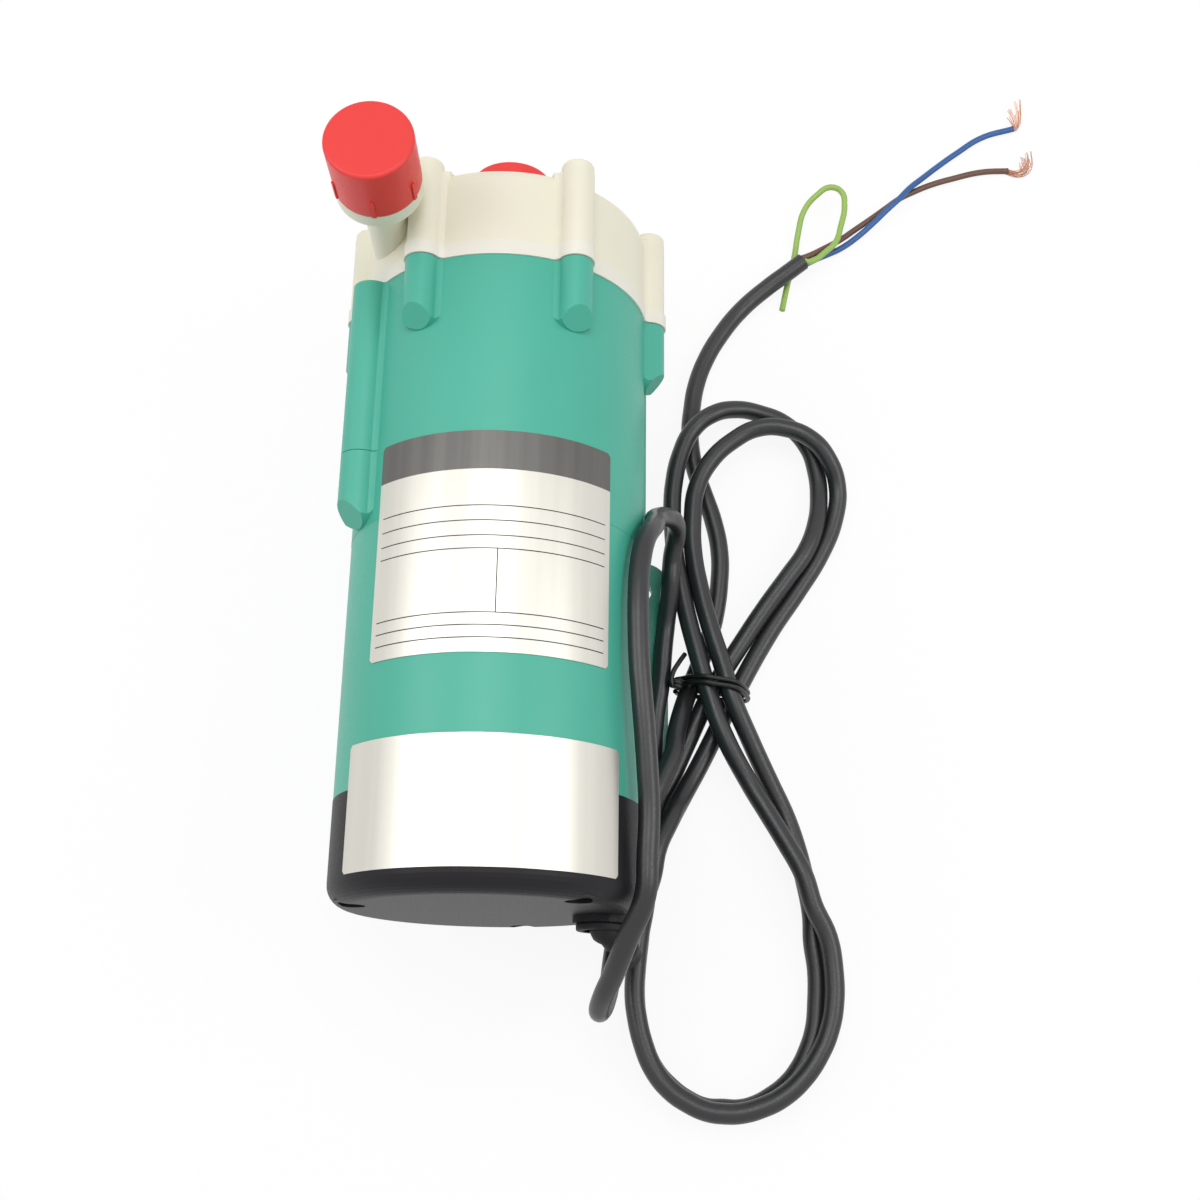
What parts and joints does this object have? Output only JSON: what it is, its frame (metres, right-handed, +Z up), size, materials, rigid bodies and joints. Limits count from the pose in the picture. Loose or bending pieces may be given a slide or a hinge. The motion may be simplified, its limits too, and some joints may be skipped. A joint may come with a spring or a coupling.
{
  "type": "magnetic drive pump",
  "caption": "Horizontal sealed pump with a threaded suction and discharge port, driven through a magnetic coupling by a round motor on a flat base, with a bare-ended mains cord.",
  "frame": {"origin": "centre of the four base slots on the underside of the base", "axes": "+Y along the shaft towards the suction port, +Z up out of the base, +X to the side where the cord lies"},
  "size_m": [0.2411, 0.3587, 0.1333],
  "materials": {
    "ivory_pp": "moulded polypropylene, satin",
    "white_pp": "moulded polypropylene, satin",
    "green_shell": "moulded plastic, satin",
    "black_cover": "moulded plastic, satin",
    "red_cap": "moulded polyethylene, satin",
    "steel": "bright steel",
    "lamination": "varnished electrical steel",
    "copper": "varnished copper wire",
    "magnet": "ferrite, matt",
    "ceramic": "polished ceramic",
    "carbon": "carbon, matt",
    "rubber": "moulded rubber",
    "aluminium": "die cast",
    "film_cap": "moulded plastic case",
    "cord_jacket": "soft PVC jacket, satin",
    "core_brown": "PVC insulation",
    "core_blue": "PVC insulation",
    "core_earth": "PVC insulation",
    "tie_wire": "plastic coated wire"
  },
  "bodies": {
    "pump": {"front_casing": "ivory_pp", "suction_nozzle": "ivory_pp", "discharge_nozzle": "ivory_pp", "rear_casing": "white_pp", "o_ring": "rubber", "casing_screws": "steel", "spindle": "ceramic", "front_thrust_ring": "ceramic", "rear_thrust_ring": "ceramic", "bracket": "green_shell", "bearing_outer_rings": "steel", "stator_core": "lamination", "stator_windings": "copper", "front_end_shield": "aluminium", "rear_end_shield": "aluminium", "motor_housing": "green_shell", "tie_bolts": "steel", "rear_cover": "black_cover", "cover_screws": "steel", "capacitor": "film_cap", "cord_grommet": "rubber", "mounting_base": "green_shell", "base_screws": "steel", "power_cord": "cord_jacket", "cord_loop": "cord_jacket", "cord_hank": "cord_jacket", "cord_tail": "cord_jacket", "core_brown": "core_brown", "core_blue": "core_blue", "core_earth": "core_earth", "cord_tie": "tie_wire"},
    "rotor": {"motor_shaft": "steel", "rotor_core": "lamination", "bearing_inner_rings": "steel", "bearing_balls": "steel", "drive_hub": "steel", "drive_magnets": "magnet", "hub_set_screw": "steel"},
    "impeller": {"impeller": "ivory_pp", "magnet_capsule": "ivory_pp", "magnet_lid": "ivory_pp", "inner_magnet": "magnet", "impeller_bush": "carbon"},
    "discharge_cap": {"discharge_cap": "red_cap"},
    "suction_cap": {"suction_cap": "red_cap"}
  },
  "joints": [
    {"name": "rotor_spin", "type": "hinge", "parent": "pump", "child": "rotor", "pos_m": [0, 0, 0.058], "axis": [0, 1, 0], "continuous": true},
    {"name": "impeller_spin", "type": "hinge", "parent": "pump", "child": "impeller", "pos_m": [0, 0.1, 0.058], "axis": [0, 1, 0], "continuous": true},
    {"name": "discharge_cap_pull", "type": "slide", "parent": "pump", "child": "discharge_cap", "axis": [0, 0, 1], "range_m": [0, 0.03]},
    {"name": "suction_cap_pull", "type": "slide", "parent": "pump", "child": "suction_cap", "axis": [0, 1, 0], "range_m": [0, 0.03]}
  ],
  "couplings": [
    {"joint": "impeller_spin", "follows": "rotor_spin", "ratio": 1}
  ]
}
